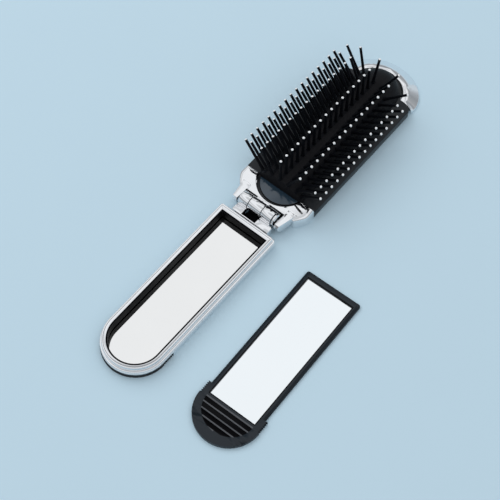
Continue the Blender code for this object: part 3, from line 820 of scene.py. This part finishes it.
def pad(material):
    """The soft arched pad: a round bar whose far end closes in a dome."""
    mesh = bmesh.new()
    sections = [(PAD_START + y, share) for y, share in PAD_NOSE]
    sections += [(PAD_START + PAD_LENGTH * i / PAD_STEPS, 1.0) for i in range(1, PAD_STEPS + 1)]
    for i in range(1, DOME_STEPS + 1):
        a = QUARTER * DOME_SHARE * i / DOME_STEPS
        sections.append((PAD_DOME + PAD_HALF * math.sin(a), math.cos(a)))
    rows = []
    for y, share in sections:
        row = []
        for i in range(ARCH_STEPS + 1):
            x = PAD_HALF * math.sin(QUARTER - HALF_TURN * i / ARCH_STEPS)
            row.append(mesh.verts.new((x * share, y, PAD_FLOOR + share * arch_height(x))))
        rows.append(row)
    for low, high in zip(rows, rows[1:]):
        for i in range(ARCH_STEPS):
            mesh.faces.new((low[i], low[i + 1], high[i + 1], high[i]))
        mesh.faces.new((low[-1], low[0], high[0], high[-1]))
    mesh.faces.new(rows[0][::-1])
    mesh.faces.new(rows[-1])
    stand_in(link_mesh("pad_rubber", mesh, [material], sharp=50), "head", "rubber_pad")


# ---------------------------------------------------------------- stage, light and camera

def stage_floor():
    """The wide floor on which everything lies."""
    mesh = bmesh.new()
    corners = [mesh.verts.new((x * FLOOR_SIZE, y * FLOOR_SIZE, 0))
               for x, y in ((-1, -1), (1, -1), (1, 1), (-1, 1))]
    mesh.faces.new(corners)
    link_mesh("floor", mesh, [floor_paint()])


def sky():
    """Soft light from all round, in bands of brightness by height that the chrome reflects."""
    world = bpy.data.worlds.new("studio")
    bpy.context.scene.world = world
    world.use_nodes = True
    nodes = world.node_tree.nodes
    link = world.node_tree.links.new
    nodes.clear()
    coords = nodes.new("ShaderNodeTexCoord")
    split = nodes.new("ShaderNodeSeparateXYZ")
    ramp = nodes.new("ShaderNodeValToRGB")
    light = nodes.new("ShaderNodeBackground")
    out = nodes.new("ShaderNodeOutputWorld")
    stops = ramp.color_ramp.elements
    for stop, (place, colour) in zip((stops[0], stops[1]), (SKY[0], SKY[-1])):
        stop.position = place
        stop.color = (*colour, 1)
    for place, colour in SKY[1:-1]:
        stops.new(place).color = (*colour, 1)
    link(coords.outputs["Generated"], split.inputs[0])
    link(split.outputs["Z"], ramp.inputs["Fac"])
    link(ramp.outputs["Color"], light.inputs["Color"])
    light.inputs["Strength"].default_value = 1.0
    link(light.outputs[0], out.inputs["Surface"])


def key_lamp():
    """A soft lamp from the left, which no surface reflects as a patch."""
    data = bpy.data.lights.new("key", "AREA")
    data.shape = "RECTANGLE"
    data.size, data.size_y = KEY_SIZE
    data.energy = KEY_POWER
    obj = bpy.data.objects.new("key", data)
    obj.location = KEY_PLACE
    obj.rotation_euler = (-Vector(KEY_PLACE)).to_track_quat("-Z", "Y").to_euler()
    obj.visible_glossy = False
    bpy.context.collection.objects.link(obj)


def camera():
    """The camera at the angles and the distance that were fitted to the photo."""
    data = bpy.data.cameras.new("camera")
    data.lens = CAMERA_LENS
    data.sensor_width = SENSOR
    data.sensor_height = SENSOR
    data.clip_start, data.clip_end = NEAREST, FARTHEST
    obj = bpy.data.objects.new("camera", data)
    bpy.context.collection.objects.link(obj)
    level = math.cos(CAMERA_ELEVATION)
    forward = Vector((-math.sin(CAMERA_AZIMUTH) * level, math.cos(CAMERA_AZIMUTH) * level,
                      -math.sin(CAMERA_ELEVATION)))
    obj.location = CAMERA_AIM - forward * CAMERA_DISTANCE
    obj.rotation_mode = "QUATERNION"
    obj.rotation_quaternion = forward.to_track_quat("-Z", "Y")
    bpy.context.scene.camera = obj


# ---------------------------------------------------------------- all together

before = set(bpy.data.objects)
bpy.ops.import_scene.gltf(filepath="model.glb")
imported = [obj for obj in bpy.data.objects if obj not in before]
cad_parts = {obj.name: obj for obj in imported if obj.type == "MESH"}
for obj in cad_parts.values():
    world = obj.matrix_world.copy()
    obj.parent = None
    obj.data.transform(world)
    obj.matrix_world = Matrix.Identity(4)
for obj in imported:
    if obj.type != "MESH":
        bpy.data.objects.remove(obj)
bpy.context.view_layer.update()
bpy.context.scene.view_settings.view_transform = "Standard"

metal = chrome()
slate = black_plastic("black_slate", (0.008, 0.010, 0.013), (0.014, 0.017, 0.021), (0.26, 0.36), 0.12, 0.3)
# Glossy black plastic of the tongue; its blue-grey colour is a painted reflection
painted_reflection_tongue = black_plastic("black_tongue_painted_reflection", (0.016, 0.036, 0.058), (0.022, 0.045, 0.07), (0.08, 0.14), 0.03, 0.9)
liner = black_plastic("black_liner", (0.003, 0.003, 0.004), (0.006, 0.006, 0.007), (0.45, 0.6), 0.05, 0.04)
satin = black_plastic("black_satin", (0.003, 0.008, 0.014), (0.006, 0.012, 0.019), (0.34, 0.46), 0.12, 0.45)
# Near-black painted shade, for the hinge slot, the gaps by the hinge, the grooves and the ring round each mirror
painted_shade = black_plastic("black_painted_shade", (0.003, 0.003, 0.004), (0.005, 0.005, 0.006), (0.5, 0.6), 0.1, 0.08)
# Grey painted highlight along rounded edges and on the tops of the grip's ribs
painted_highlight = black_plastic("black_painted_highlight", (0.07, 0.075, 0.085), (0.11, 0.115, 0.125), (0.36, 0.48), 0.1, 0.4)
nylon = black_plastic("black_nylon", (0.003, 0.003, 0.005), (0.005, 0.006, 0.008), (0.45, 0.6), 0.1, 0.08)
tips = white_tip()

handle_frame(metal)
hinge_leaf(metal, painted_shade)
hinge_cap(metal)
slot_shade_floor(painted_shade)
head_shell(metal, painted_shade)
pad_base(slate, painted_reflection_tongue, painted_shade, painted_highlight)
dress("hinge_pin", steel())
dress("recess_liner", liner)
trays(satin, painted_shade, painted_highlight)
pad(rubber())
for row in range(len(BASE_SHARES)):
    pin_row(row, nylon, tips)

stage_floor()
sky()
key_lamp()
camera()
